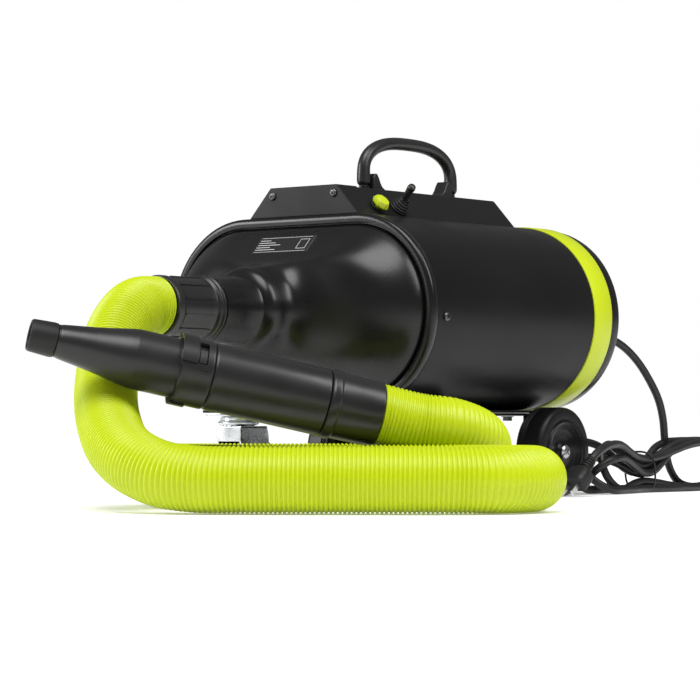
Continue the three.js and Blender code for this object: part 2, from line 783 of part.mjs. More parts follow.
function plugBody() {
  const relief = turned([
    [0, 0], [5.4, 0], [7.4, 16], [7.4, 20], [0, 20],
  ], 12, false);
  const outline = [[-14, 42], [-14, 26], [-9, 18], [9, 18], [14, 26], [14, 42]];
  const block = plate(outline, 20).rotateX(Math.PI / 2).translate(0, 10, 0);
  return join(relief, block);
}

const PLUG_PINS = [["plug_pin_left", -6.3], ["plug_pin_right", 6.3]];

function plugPin(x) {
  return box([x - 0.8, -3.2, 42 + GAP], [x + 0.8, 3.2, 57]);
}

// ---- the casing and what it holds ----
add("casing_wrap", casingWrap(), black);
add("front_cover", frontCover(), black);
add("spout", spout(), black);
add("rear_ring", rearRing(), lime);
add("rear_cover", rearCover(), satinBlack);
add("filter_foam", filterFoam(), foam);
add("motor_bulkhead", motorBulkhead(), steel);
for (const [side, name] of [[-1, "left"], [1, "right"]]) {
  const bay = new THREE.Group();
  bay.position.set(side * MOTOR_X, BULKHEAD_Y, CASING_Z);
  machine.add(bay);
  add(`motor_shell_${name}`, motorShell(), steel, bay);
  add(`rotor_${name}`, fanRotor(), steel, bay);
}

// ---- the control box, its switches and the handle ----
add("control_box", controlBox(), satinBlack);
add("control_box_front", controlBoxFront(), satinBlack);
for (const [side, name] of [[-1, "left"], [1, "right"]]) {
  const frontScrew = turnedY(screwHead(4.4), 12, false).rotateX(Math.PI);
  frontScrew.translate(side * 41, BOX_FRONT_Y + 2.6 - GAP, BOX_TOP_Z - 9);
  add(`front_plate_screw_${name}`, frontScrew, steel);
  const sideScrew = turned([[0, 0], [4.6, 0], [4.6, 1], [3.2, 2.6], [0, 3]], 12, false);
  sideScrew.rotateY((side * Math.PI) / 2);
  sideScrew.translate(side * (CASING_HALF_W + GAP), 20, CASING_Z - 7);
  add(`side_screw_${name}`, sideScrew, steel);
}
add("breaker_bezel", onSlope(breakerBezel(), BREAKER_Y), rubber);
add("breaker_button", onSlope(breakerButton(), BREAKER_Y), lime);
add("toggle_boot", onSlope(toggleBoot(), TOGGLE_Y), rubber);
add("toggle_lever", onSlope(toggleLever(), TOGGLE_Y), satinBlack);
add("handle_bracket", handleBracket(), satinBlack);
add("handle_grip", handleGrip(), satinBlack);
add("handle_pin_front", handlePin(-1), steel);
add("handle_pin_rear", handlePin(1), steel);

// ---- the running gear ----
add("base_plate", basePlate(), satinBlack);
for (const [side, name] of [[-1, "left"], [1, "right"]]) {
  add(`axle_bracket_${name}`, axleBracket(side), satinBlack);
  const head = bolt().translate(
    side * 105.4,
    REAR_WHEEL_Y - 29,
    BASE_BOTTOM_Z - 3 - 2 * GAP,
  );
  add(`base_bolt_${name}`, head, steel);

  const wheel = new THREE.Group();
  wheel.position.set(side * (REAR_WHEEL_OUT_X - REAR_WHEEL_W), REAR_WHEEL_Y, AXLE_Z);
  if (side < 0) wheel.rotation.z = Math.PI;
  machine.add(wheel);
  add(`rear_tyre_${name}`, rearTyre(), rubber, wheel);
  add(`rear_hub_${name}`, rearHub(), satinBlack, wheel);
  const cap = turnedX([[0, 0], [7.8, 0], [7.8, 1.4], [5.5, 3], [0, 3.4]], 16, false);
  add(`wheel_screw_${name}`, cap.translate(REAR_WHEEL_W - 1.8 + GAP, 0, 0), steel, wheel);

  const caster = new THREE.Group();
  caster.position.set(side * CASTER_X, CASTER_Y, 0);
  machine.add(caster);
  const plateTop = BASE_BOTTOM_Z - GAP;
  add(`caster_plate_${name}`, box([-25, -25, plateTop - 3], [25, 25, plateTop]), zinc, caster);
  add(`caster_fork_${name}`, casterFork(), zinc, caster);
  const roller = casterWheel().translate(0, CASTER_TRAIL, CASTER_WHEEL_R);
  add(`caster_wheel_${name}`, roller, rubber, caster);
  const axle = turnedX([[0, -18], [4, -18], [4, 18], [0, 18]], 12, false);
  add(`caster_axle_${name}`, axle.translate(0, CASTER_TRAIL, CASTER_WHEEL_R), steel, caster);
}
const axleHalf = REAR_WHEEL_OUT_X - 1.8;
const rearAxle = turnedX(
  [[0, -axleHalf], [REAR_AXLE_R, -axleHalf], [REAR_AXLE_R, axleHalf], [0, axleHalf]],
  16,
  false,
);
add("rear_axle", rearAxle.translate(0, REAR_WHEEL_Y, AXLE_Z), steel);

// ---- the hose and its handpiece ----
add("outlet_cuff", outletCuff(), satinBlack);
const hose = rod(HOSE_ROUTE, HOSE_R, HOSE_SIDES, HOSE_STEPS, HOSE_R - HOSE_WALL);
add("hose", hose, lime);

const hand = new THREE.Group();
const handEnd = new THREE.Vector3(...HAND_END);
const handAim = new THREE.Vector3(...HAND_TIP).sub(handEnd);
const HAND_LENGTH = handAim.length();
handAim.normalize();
const handSide = new THREE.Vector3(0, 0, 1).cross(handAim).normalize();
const handUp = handAim.clone().cross(handSide);
hand.quaternion.setFromRotationMatrix(new THREE.Matrix4().makeBasis(handSide, handUp, handAim));
hand.position.copy(handEnd).addScaledVector(handAim, 1);
machine.add(hand);
add("hand_cuff", handCuff(), satinBlack, hand);
add("hand_tube", handTube(), satinBlack, hand);
add("bayonet_collar", bayonetCollar(), satinBlack, hand);
add("nozzle", nozzle(), satinBlack, hand);
add("nozzle_tip", nozzleTip(), rubber, hand);

// ---- the power cord ----
add("cable_gland", cableGland(), rubber);
add("power_cord", rod(CORD_ROUTE, CORD_R, CORD_SIDES, 16), cable);
add("power_cord_hank", hankSolid(), cable);
add("power_cord_lead", rod(LEAD_ROUTE, CORD_R, CORD_SIDES, 8), cable);
add("cord_tie", cordTie(), cable);
const plug = new THREE.Group();
const plugAim = new THREE.Vector3(...PLUG_AIM).normalize();
plug.quaternion.setFromUnitVectors(new THREE.Vector3(0, 0, 1), plugAim);
plug.position.set(...PLUG_ENTRY);
machine.add(plug);
add("plug_body", plugBody(), rubber, plug);
for (const [name, x] of PLUG_PINS) add(name, plugPin(x), steel, plug);

export default machine;
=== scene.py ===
import math

import bpy
from mathutils import Matrix, Vector


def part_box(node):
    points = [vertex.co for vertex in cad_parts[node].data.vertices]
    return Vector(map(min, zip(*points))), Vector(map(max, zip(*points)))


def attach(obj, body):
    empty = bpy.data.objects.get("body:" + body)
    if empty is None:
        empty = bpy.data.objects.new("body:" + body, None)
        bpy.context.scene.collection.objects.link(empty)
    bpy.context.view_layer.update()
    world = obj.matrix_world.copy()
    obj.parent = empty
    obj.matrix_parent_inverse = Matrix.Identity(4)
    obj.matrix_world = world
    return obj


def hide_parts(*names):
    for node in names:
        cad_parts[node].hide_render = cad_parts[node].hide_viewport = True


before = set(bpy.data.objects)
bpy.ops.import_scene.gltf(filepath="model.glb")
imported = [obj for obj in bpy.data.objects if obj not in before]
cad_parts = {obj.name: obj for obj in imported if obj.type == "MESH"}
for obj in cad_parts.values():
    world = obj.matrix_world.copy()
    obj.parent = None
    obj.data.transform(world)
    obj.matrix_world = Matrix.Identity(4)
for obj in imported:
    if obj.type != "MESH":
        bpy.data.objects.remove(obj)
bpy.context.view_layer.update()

# ---- the machine's own frame: millimetres, x 0 in its centre plane, y 0 at the casing's front ----
LOW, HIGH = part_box("casing_wrap")
ORIGIN = Vector(((LOW[0] + HIGH[0]) / 2, LOW[1] - 0.006, 0))
MM = 0.001
AXIS_Z = 192  # the height of the casing's axis
HALF_W = 175
HALF_H = 100


def at(point):
    """A point in the machine's frame, in the row frame's metres."""
    return ORIGIN + Vector(point) * MM


# ---- camera ----
CAMERA_AT = (1843.2, -2217.3, 82.6)
CAMERA_AZIMUTH = math.radians(38.70)
CAMERA_PITCH = math.radians(1.415)
SENSOR = 36
FOCAL = 2787.6 / 700  # in picture widths
LENS = FOCAL * SENSOR

camera_data = bpy.data.cameras.new("camera")
camera_data.sensor_width = SENSOR
camera_data.lens = LENS
camera_data.clip_end = 50
camera = bpy.data.objects.new("camera", camera_data)
camera.location = at(CAMERA_AT)
camera.rotation_euler = (math.radians(90) + CAMERA_PITCH, 0, CAMERA_AZIMUTH)
bpy.context.collection.objects.link(camera)
bpy.context.scene.camera = camera


# ---- materials ----
def material(
    name,
    color,
    rough,
    metal=0.0,
    grain=900,
    bump=0.15,
    depth=0.00005,
    spread=0.06,
    shade=0.12,
    blotch=14,
    specular=0.5,
    glow=0.0,
):
    """A surface whose colour and gloss drift a little over it, with a fine grain in its bump."""
    made = bpy.data.materials.new(name)
    made.use_nodes = True
    nodes, links = made.node_tree.nodes, made.node_tree.links
    shader = nodes["Principled BSDF"]
    shader.inputs["Metallic"].default_value = metal
    shader.inputs["Specular IOR Level"].default_value = specular
    shader.inputs["Emission Color"].default_value = (1, 1, 1, 1)
    shader.inputs["Emission Strength"].default_value = glow
    place = nodes.new("ShaderNodeTexCoord")

    drift = nodes.new("ShaderNodeTexNoise")
    drift.inputs["Scale"].default_value = blotch
    drift.inputs["Detail"].default_value = 5
    links.new(place.outputs["Object"], drift.inputs["Vector"])

    tint = nodes.new("ShaderNodeMix")
    tint.data_type = "RGBA"
    dark = [c * (1 - shade) for c in color] + [1]
    light = [min(1, c * (1 + shade)) for c in color] + [1]
    tint.inputs["A"].default_value = dark
    tint.inputs["B"].default_value = light
    links.new(drift.outputs["Fac"], tint.inputs["Factor"])
    links.new(tint.outputs["Result"], shader.inputs["Base Color"])

    gloss = nodes.new("ShaderNodeMapRange")
    gloss.inputs["From Min"].default_value = 0.3
    gloss.inputs["From Max"].default_value = 0.7
    gloss.inputs["To Min"].default_value = max(0.02, rough - spread)
    gloss.inputs["To Max"].default_value = min(1, rough + spread)
    links.new(drift.outputs["Fac"], gloss.inputs["Value"])
    links.new(gloss.outputs["Result"], shader.inputs["Roughness"])

    fine = nodes.new("ShaderNodeTexNoise")
    fine.inputs["Scale"].default_value = grain
    fine.inputs["Detail"].default_value = 3
    links.new(place.outputs["Object"], fine.inputs["Vector"])
    relief = nodes.new("ShaderNodeBump")
    relief.inputs["Strength"].default_value = bump
    relief.inputs["Distance"].default_value = depth
    links.new(fine.outputs["Fac"], relief.inputs["Height"])
    links.new(relief.outputs["Normal"], shader.inputs["Normal"])
    return made


PAINT = material(
    "black_powder_coat", (0.006, 0.006, 0.0063), 0.36, grain=1100, bump=0.2, specular=0.14
)
PANEL = material(
    "black_panel_paint", (0.007, 0.007, 0.0073), 0.42, grain=1100, bump=0.25, specular=0.16
)
MOULDED = material(
    "black_glossy_moulding", (0.005, 0.005, 0.0053), 0.28, spread=0.05, grain=500, bump=0.08,
    specular=0.34,
)
SATIN = material(
    "satin_black_plastic", (0.011, 0.011, 0.0115), 0.34, grain=1500, bump=0.3, shade=0.2,
    specular=0.42,
)
RUBBER = material(
    "matte_rubber", (0.009, 0.009, 0.009), 0.5, grain=1300, bump=0.5, depth=0.0001, shade=0.25,
    specular=0.3,
)
TREAD = material(
    "tyre_rubber", (0.005, 0.005, 0.005), 0.36, grain=900, bump=0.4, depth=0.0001, shade=0.3,
    specular=0.2,
)
WHEEL = material(
    "glossy_wheel_disc", (0.004, 0.004, 0.0042), 0.24, grain=700, bump=0.15, specular=0.22
)
LIME = material("lime_plastic", (0.44, 0.53, 0.002), 0.36, grain=1200, bump=0.15, shade=0.05)
HOSE = material(
    "lime_hose", (0.45, 0.55, 0.001), 0.36, grain=700, bump=0.06, shade=0.05, blotch=9,
    specular=0.35,
)
ZINC = material(
    "zinc_plate", (0.62, 0.64, 0.65), 0.24, metal=1, grain=260, bump=0.4, depth=0.0001,
    spread=0.12, shade=0.18, blotch=60,
)
STEEL = material(
    "turned_steel", (0.45, 0.45, 0.46), 0.32, metal=1, grain=600, bump=0.3, spread=0.1, blotch=40
)
DARK_STEEL = material(
    "blackened_steel", (0.10, 0.10, 0.105), 0.36, metal=1, grain=600, bump=0.3, blotch=40
)
ALLOY = material("alloy_can", (0.42, 0.42, 0.43), 0.38, metal=1, grain=400, bump=0.3)
FOAM = material(
    "filter_foam", (0.014, 0.014, 0.015), 0.95, grain=420, bump=1, depth=0.001, spread=0.03,
    shade=0.5, blotch=300,
)
CABLE = material(
    "cord_sheath", (0.012, 0.012, 0.0125), 0.4, grain=800, bump=0.4, shade=0.2, blotch=30,
    specular=0.35,
)
PIN = material("pin_steel", (0.58, 0.58, 0.56), 0.26, metal=1, grain=500, bump=0.3, blotch=50)
TIP = material("lever_tip", (0.008, 0.008, 0.008), 0.18, grain=1500, bump=0.1)
LABEL = material("label_film", (0.012, 0.012, 0.012), 0.3, grain=900, bump=0.1)
INK = material("label_lines", (0.55, 0.55, 0.55), 0.5, grain=900, bump=0.1)


# ---- shapes, all in the machine's millimetres ----
def piece(name, shape, body, finish, stands_for=(), place=None, crease=38):
    """A mesh that rides on a body, and hides the CAD nodes that it stands for."""
    points, faces = shape
    placed = [place @ Vector(p) if place else Vector(p) for p in points]
    mesh = bpy.data.meshes.new(name)
    mesh.from_pydata([at(p) for p in placed], [], faces)
    mesh.validate()
    mesh.materials.append(finish)
    for face in mesh.polygons:
        face.use_smooth = True
    mesh.set_sharp_from_angle(angle=math.radians(crease))
    made = bpy.data.objects.new(name, mesh)
    bpy.context.collection.objects.link(made)
    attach(made, body)
    if stands_for:
        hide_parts(*stands_for)
    return made


def merged(*shapes):
    """Several shapes as one, without joining their surfaces."""
    points, faces = [], []
    for some_points, some_faces in shapes:
        start = len(points)
        points += [tuple(p) for p in some_points]
        faces += [tuple(i + start for i in face) for face in some_faces]
    return points, faces


def moved(shape, place):
    return [place @ Vector(p) for p in shape[0]], shape[1]


def signed_volume(points, faces):
    total = 0
    for face in faces:
        a = Vector(points[face[0]])
        for i in range(1, len(face) - 1):
            total += a.dot(Vector(points[face[i]]).cross(Vector(points[face[i + 1]])))
    return total


def turned_out(points, faces):
    """The same shape with its faces turned outwards."""
    if signed_volume(points, faces) < 0:
        faces = [tuple(reversed(face)) for face in faces]
    return points, faces


def loft(rings, looped=False):
    """Skins rings that have the same number of points. The ends are capped unless it is looped."""
    n = len(rings[0])
    points = [tuple(p) for ring in rings for p in ring]
    faces = []
    spans = len(rings) if looped else len(rings) - 1
    for k in range(spans):
        low, high = k * n, ((k + 1) % len(rings)) * n
        for i in range(n):
            j = (i + 1) % n
            faces.append((low + i, low + j, high + j, high + i))
    if not looped:
        faces.append(tuple(range(n - 1, -1, -1)))
        last = (len(rings) - 1) * n
        faces.append(tuple(range(last, last + n)))
    return turned_out(points, faces)


def rounded(profile, radius, looped=False):
    """Cuts each corner of a list of 2-D points into a short curve."""
    steps = 3
    out = []
    n = len(profile)
    for i, p in enumerate(profile):
        if not looped and i in (0, n - 1):
            out.append(tuple(p))
            continue
        before, here, after = Vector(profile[i - 1]), Vector(p), Vector(profile[(i + 1) % n])
        u, v = before - here, after - here
        cut = min(radius, 0.42 * u.length, 0.42 * v.length)
        start, end = here + u.normalized() * cut, here + v.normalized() * cut
        for k in range(steps + 1):
            t = k / steps
            out.append(tuple((1 - t) ** 2 * start + 2 * t * (1 - t) * here + t * t * end))
    return out


def lathe(profile, sides=72, looped=True, radius=0.6):
    """Turned about local Z. The profile lists (radius, height), and its ends may be at radius 0."""
    outline = rounded(profile, radius, looped)
    rings = []
    for r, h in outline:
        if r < 1e-6:
            rings.append(None)
            continue
        ring = []
        for i in range(sides):
            t = 2 * math.pi * i / sides
            ring.append((r * math.cos(t), r * math.sin(t), h))
        rings.append(ring)
    if looped:
        return loft(rings, True)
    points, faces, starts = [], [], []
    for (r, h), ring in zip(outline, rings):
        starts.append(len(points))
        points += ring if ring else [(0, 0, h)]
    for k in range(len(rings) - 1):
        low, high = starts[k], starts[k + 1]
        for i in range(sides):
            j = (i + 1) % sides
            if rings[k] and rings[k + 1]:
                faces.append((low + i, low + j, high + j, high + i))
            elif rings[k]:
                faces.append((low + i, low + j, high))
            else:
                faces.append((low, high + j, high + i))
    return turned_out(points, faces)


def stadium(a, b, y, n):
    """n points evenly along a stadium of half width a and half height b, in the plane y."""
    flat = 2 * (a - b)
    arc = math.pi * b
    total = 2 * flat + 2 * arc
    ring = []
    for i in range(n):
        s = total * i / n
        if s < arc / 2:
            t = s / b
            x, up = a - b + b * math.cos(t), b * math.sin(t)
        elif s < arc / 2 + flat:
            x, up = a - b - (s - arc / 2), b
        elif s < 1.5 * arc + flat:
            t = math.pi / 2 + (s - arc / 2 - flat) / b
            x, up = b - a + b * math.cos(t), b * math.sin(t)
        elif s < 1.5 * arc + 2 * flat:
            x, up = b - a + (s - 1.5 * arc - flat), -b
        else:
            t = -math.pi / 2 + (s - 1.5 * arc - 2 * flat) / b
            x, up = a - b + b * math.cos(t), b * math.sin(t)
        ring.append((x, y, AXIS_Z + up))
    return ring


def prism(outline, low, high, plane="xz"):
    """A closed outline between two planes: xz runs along y, yz along x, and xy along z."""
    rings = []
    for depth in (low, high):
        if plane == "xz":
            rings.append([(u, depth, v) for u, v in outline])
        elif plane == "yz":
            rings.append([(depth, u, v) for u, v in outline])
        else:
            rings.append([(u, v, depth) for u, v in outline])
    return loft(rings)


def arc(cx, cy, r, start, end, steps):
    points = []
    for i in range(steps + 1):
        t = math.radians(start + (end - start) * i / steps)
        points.append((cx + r * math.cos(t), cy + r * math.sin(t)))
    return points


def bevel(made, width, segments=3, limit=32):
    modifier = made.modifiers.new("edges", "BEVEL")
    modifier.width = width * MM
    modifier.segments = segments
    modifier.limit_method = "ANGLE"
    modifier.angle_limit = math.radians(limit)
    modifier.harden_normals = True


def smooth_path(points, step):
    """A centripetal Catmull-Rom curve through the points, sampled every step."""
    p = [Vector(q) for q in points]
    p = [2 * p[0] - p[1]] + p + [2 * p[-1] - p[-2]]
    fine = []
    for i in range(1, len(p) - 2):
        a, b, c, d = p[i - 1], p[i], p[i + 1], p[i + 2]
        d1, d2, d3 = ((b - a).length ** 0.5, (c - b).length ** 0.5, (d - c).length ** 0.5)
        m1 = (c - b) + d2 * ((b - a) / d1 - (c - a) / (d1 + d2))
        m2 = (c - b) + d2 * ((d - c) / d3 - (d - b) / (d2 + d3))
        for k in range(24):
            t = k / 24
            h1, h2 = 2 * t**3 - 3 * t * t + 1, t**3 - 2 * t * t + t
            h3, h4 = 3 * t * t - 2 * t**3, t**3 - t * t
            fine.append(h1 * b + h2 * m1 + h3 * c + h4 * m2)
    fine.append(p[-2])
    spaced, carried = [fine[0]], 0.0
    for a, b in zip(fine, fine[1:]):
        length = (b - a).length
        reach = step - carried
        while reach <= length:
            spaced.append(a.lerp(b, reach / length))
            reach += step
        carried = length - (reach - step)
    if (fine[-1] - spaced[-1]).length > 0.3 * step:
        spaced.append(fine[-1])
    else:
        spaced[-1] = fine[-1]
    return spaced


def path_length(path):
    return sum((b - a).length for a, b in zip(path, path[1:]))


def sweep(path, radius, sides):
    """A tube along a path. radius is a number, or a function of the distance along it."""
    rings = []
    travelled = 0.0
    normal = None
    for i, p in enumerate(path):
        ahead = path[min(i + 1, len(path) - 1)] - path[max(i - 1, 0)]
        ahead.normalize()
        if normal is None:
            normal = ahead.orthogonal().normalized()
        normal = (normal - ahead * normal.dot(ahead)).normalized()
        other = ahead.cross(normal)
        if i:
            travelled += (p - path[i - 1]).length
        r = radius(travelled) if callable(radius) else radius
        ring = []
        for k in range(sides):
            t = 2 * math.pi * k / sides
            ring.append(p + (normal * math.cos(t) + other * math.sin(t)) * r)
        rings.append(ring)
    return loft(rings)


def turn(axis, degrees):
    return Matrix.Rotation(math.radians(degrees), 4, axis)


def shift(*offset):
    return Matrix.Translation(Vector(offset))


# Local Z to the machine's -Y, +Y, +X and -X.
FORWARD = turn("X", 90)
BACKWARD = turn("X", -90)
RIGHT = turn("Y", 90)
LEFT = turn("Y", -90)

# ---- the hose ----
HOSE_ROUTE = [
    (0, -219.3, 192), (0, -226, 192), (1, -242, 191), (6, -262, 184), (14, -285, 169),
    (27, -309, 149), (46, -335, 123), (71, -363, 98), (101, -389, 75), (135, -412, 56),
    (170, -426, 43), (202, -427, 34), (232, -417, 30.5), (262, -399, 30), (339, -340, 30),
    (411, -283, 30), (434, -257, 30), (439, -222, 30), (424, -186, 30), (382, -165, 30),
    (336, -173, 30), (252, -237, 30), (166, -303, 30), (116, -316, 30), (70, -291, 30),
    (55, -242, 30), (83, -196, 30), (158, -146, 30), (223, -106, 30), (265, -90, 32),
    (298, -95, 49), (314, -121, 63), (307, -151, 73), (287, -173, 77), (264.7, -196.4, 84.7),
    (261, -201, 86),
]
RIB_PITCH = 4
RIB_TOP = 29.3
RIB_DEPTH = 1.7


def rib(travelled):
    """The radius of the corrugated hose: rounded crests with narrow grooves between them."""
    wave = 0.5 + 0.5 * math.cos(2 * math.pi * travelled / RIB_PITCH)
    return RIB_TOP - RIB_DEPTH * wave**2


hose_path = smooth_path(HOSE_ROUTE, RIB_PITCH / 6)
piece(
    "corrugated_hose",
    sweep(hose_path, rib, 44),
    "machine",
    HOSE,
    ["hose"],
    crease=180,
)

# ---- the power cord, from its gland through the tied hank to the plug ----
CORD_R = 4.4
GLAND = (100, 338, 176)
HANK_X = 141
BEND_R = 26.4
LOW_Z = CORD_R + 0.3
TIE_Y = 428
PLUG_ENTRY = (190, 256, 38.5)
CORD_ROUTE = [
    (100, 372.6, 176), (100, 378, 176), (103, 390, 177), (110, 408, 174), (116, 430, 165),
    (121, 452, 149), (125, 472, 127), (128, 487, 104), (129.4, 494, 82), (129.6, 497, 60),
    (129.4, 501, 42), (129, 509, 26), (128.8, 524, 12), (128.7, 545, 5.5),
]
# The hank's rear folds: y of the tip, and x from the hank's middle.
REAR_FOLDS = ((604, -12.4), (592, -3.5), (600, 5.5), (588, 14.5), (597, 19))
# Its front folds: y of the tip, x and lean; then (x, z) of the upper and lower run in the tie.
FRONT_FOLDS = (
    (311, -14, -8, (-9.2, 22), (-9.2, LOW_Z)),
    (327, 0, 48, (9.2, 21.6), (0, LOW_Z)),
    (315, 2, -48, (0, 20.7), (9.2, LOW_Z)),
    (338, 7, -20, (2, 30), (4.6, 12.8)),
)


def fold(x, y, lean, start, end):
    """Half a turn of cord about (x, y), leaning over sideways. Its lowest run is on the floor."""
    lean = math.radians(lean)
    points = []
    for i in range(10):
        t = math.radians(start + (end - start) * i / 9)
        points.append((
            HANK_X + x + BEND_R * math.sin(t) * math.sin(lean), y + BEND_R * math.cos(t),
            LOW_Z + BEND_R * (1 + math.sin(t)) * math.cos(lean),
        ))
    return points


def run(start, end, in_tie):
    """Points between two folds, drawn in to one place in the tied bundle on the way."""
    points = []
    for i in range(1, 10):
        x, y, z = (a + (b - a) * i / 10 for a, b in zip(start, end))
        drawn = math.exp(-(((y - TIE_Y) / 42) ** 2))
        points.append((x + (HANK_X + in_tie[0] - x) * drawn, y, z + (in_tie[1] - z) * drawn))
    return points


def hank_points():
    rears = [fold(x, y - BEND_R - CORD_R, 0, -90, 90) for y, x in REAR_FOLDS]
    points = list(rears[0])
    for k, (y, x, lean, upper, lower) in enumerate(FRONT_FOLDS):
        front = fold(x, y + BEND_R + CORD_R, lean, 90, 270)
        points += run(points[-1], front[0], upper) + front
        points += run(front[-1], rears[k + 1][0], lower) + rears[k + 1]
    return points


LEAD_END = [
    (159, 545, 57), (157, 505, 53), (154, 475, 46), (151.5, 450, 40), (150.2, 428, 38),
    (151.5, 406, 40), (157, 382, 46), (166, 357, 51.5), (175, 334, 54.5), (182, 312, 55),
    (187, 290, 53), (189.6, 273, 48.6), (190, 264, 44.5), (190, 256.4, 38.8),
]
cord_path = smooth_path(CORD_ROUTE + hank_points() + LEAD_END, 3.2)
piece(
    "mains_cord",
    sweep(cord_path, CORD_R, 14),
    "machine",
    CABLE,
    ["power_cord", "power_cord_hank", "power_cord_lead"],
    crease=180,
)

# ---- casing ----
RING_FRONT = 286.3
RING_REAR = 320


def stadium_shell(steps, n):
    """A looped shell from (half width, half height, y) steps, out along it and back inside."""
    return loft([stadium(a, b, y, n) for a, b, y in steps], True)


piece(
    "casing_skin",
    stadium_shell([
        (HALF_W - 0.5, HALF_H - 0.5, 6), (HALF_W, HALF_H, 6.5), (HALF_W, HALF_H, 100),
        (HALF_W, HALF_H, 200), (HALF_W, HALF_H, 285.5), (HALF_W - 0.5, HALF_H - 0.5, 286),
        (HALF_W - 1.5, HALF_H - 1.5, 286), (HALF_W - 1.5, HALF_H - 1.5, 6),
    ], 176),
    "machine",
    PAINT,
    ["casing_wrap"],
)

DOME = [
    (164, 90, 1.5), (163.6, 89, -1.5), (162, 85.5, -6), (158.5, 80, -12), (153.5, 75, -18),
    (147.5, 69.6, -24.2), (139.5, 64, -31), (129, 58.8, -37.5), (116, 54.4, -43),
    (101, 51.4, -47.2), (86, 49.6, -50.4), (72, 48.4, -53.6), (61, 47.6, -57.4),
    (53.5, 47, -61.8), (49, 46.6, -66.2), (46.4, 46.3, -72), (45.3, 45.2, -80),
    (44.2, 44.1, -88), (42.6, 42.5, -93), (39, 38.9, -96.6), (35.4, 35.3, -98.4),
    (34.1, 34, -102), (33.9, 33.8, -125), (33.8, 33.7, -149.6), (33.3, 33.2, -150),
    (30, 30, -150), (30, 30, -60), (60, 44, -46), (120, 52, -38), (150, 70, -18), (160, 86, 2),
]
FLANGE = [
    (172, 97, 5.7), (HALF_W + 0.1, HALF_H + 0.1, 5.7), (HALF_W + 0.4, HALF_H + 0.4, 5.2),
    (HALF_W + 0.4, HALF_H + 0.4, 1), (HALF_W + 0.1, HALF_H + 0.1, -0.6),
    (HALF_W - 0.8, HALF_H - 0.8, -2), (HALF_W - 2.2, HALF_H - 2.2, -3),
    (HALF_W - 4, HALF_H - 4, -3.4), (HALF_W - 8.4, HALF_H - 8.4, -3.4),
    (HALF_W - 9, HALF_H - 9, -3), (HALF_W - 9.2, HALF_H - 9.2, -2), (165.4, 90.8, 1.5),
]
piece(
    "front_dome",
    stadium_shell(FLANGE + DOME, 192),
    "machine",
    MOULDED,
    ["front_cover", "spout"],
    crease=42,
)
piece(
    "lime_trim_ring",
    stadium_shell([
        (174.4, 99.4, RING_FRONT), (175.6, 100.6, RING_FRONT + 0.5),
        (176.2, 101.2, RING_FRONT + 1.8), (176.2, 101.2, RING_REAR - 2.4),
        (175.6, 100.6, RING_REAR - 0.8), (174.4, 99.4, RING_REAR), (167, 92, RING_REAR),
        (167, 92, RING_FRONT),
    ], 176),
    "machine",
    LIME,
    ["rear_ring"],
)


FIELD_X = 84
FIELD_R = 62
SLOT_R = 3.5
SLOT_PITCH = 15


def vent_slots():
    """Cutters for two round fields of slots with rounded ends."""
    cutters = []
    for side in (-1, 1):
        for row in range(7):
            z = (row - 3) * SLOT_PITCH
            half = math.sqrt(FIELD_R**2 - z**2) - SLOT_R
            outline = arc(side * FIELD_X + half, AXIS_Z + z, SLOT_R, -90, 90, 8)
            outline += arc(side * FIELD_X - half, AXIS_Z + z, SLOT_R, 90, 270, 8)
            cutters.append(prism(outline, 325, 342))
    return merged(*cutters)


def carve(made, cutter_shape):
    """Cuts a shape out of a piece and keeps the result as its mesh."""
    points, faces = cutter_shape
    mesh = bpy.data.meshes.new("cutter")
    mesh.from_pydata([at(p) for p in points], [], faces)
    cutter = bpy.data.objects.new("cutter", mesh)
    bpy.context.collection.objects.link(cutter)
    modifier = made.modifiers.new("carve", "BOOLEAN")
    modifier.object = cutter
    modifier.solver = "EXACT"
    bpy.context.view_layer.update()
    result = made.evaluated_get(bpy.context.evaluated_depsgraph_get())
    kept = bpy.data.meshes.new_from_object(result)
    made.modifiers.remove(modifier)
    made.data = kept
    bpy.data.objects.remove(cutter)
    kept.set_sharp_from_angle(angle=math.radians(38))


carve(
    piece(
        "slotted_rear_cover",
        stadium_shell([
            (166, 91, 320.3), (174, 99, 320.3), (174.3, 99.3, 321), (174.3, 99.3, 333),
            (173.8, 98.8, 335), (172.2, 97.2, 336.8), (169.4, 94.4, 337.8), (166, 91, 338),
            (154, 79, 338), (90, 30, 338), (22.05, 0.05, 338), (22.05, 0.05, 334.5),
            (90, 30, 334.5), (154, 79, 334.5), (163, 88, 333), (166.4, 91.4, 330),
        ], 176),
        "machine",
        MOULDED,
        ["rear_cover"],
    ),
    vent_slots(),
)

# A plain label on the dome's upper slope: a border and a few ruled lines, without any words.
LABEL_PLACE = shift(0, -25.6, AXIS_Z + 69.2) @ turn("X", 46)


def slab(low, high):
    (x0, y0, z0), (x1, y1, z1) = low, high
    return prism([(x0, y0), (x1, y0), (x1, y1), (x0, y1)], z0, z1, "xy")


bevel(
    piece(
        "blank_label", slab((-37, -12.5, -2), (37, 12.5, 0.9)), "machine", LABEL,
        place=LABEL_PLACE,
    ),
    0.25,
    2,
)
ruled = [slab((-34, 10.2, 0.8), (34, 10.6, 1)), slab((-34, -10.6, 0.8), (34, -10.2, 1))]
for row, reach in enumerate((14, 22, 30, 18, 26)):
    y = 6.6 - row * 3.4
    ruled.append(slab((-34, y - 0.35, 0.8), (-34 + reach, y + 0.35, 1)))
ruled.append(slab((20, -7, 0.8), (32, -6.5, 1)))
ruled.append(slab((20, 6.5, 0.8), (32, 7, 1)))
ruled.append(slab((20, -6.5, 0.8), (20.5, 6.5, 1)))
ruled.append(slab((31.5, -6.5, 0.8), (32, 6.5, 1)))
piece("label_rules", merged(*ruled), "machine", INK, place=LABEL_PLACE)

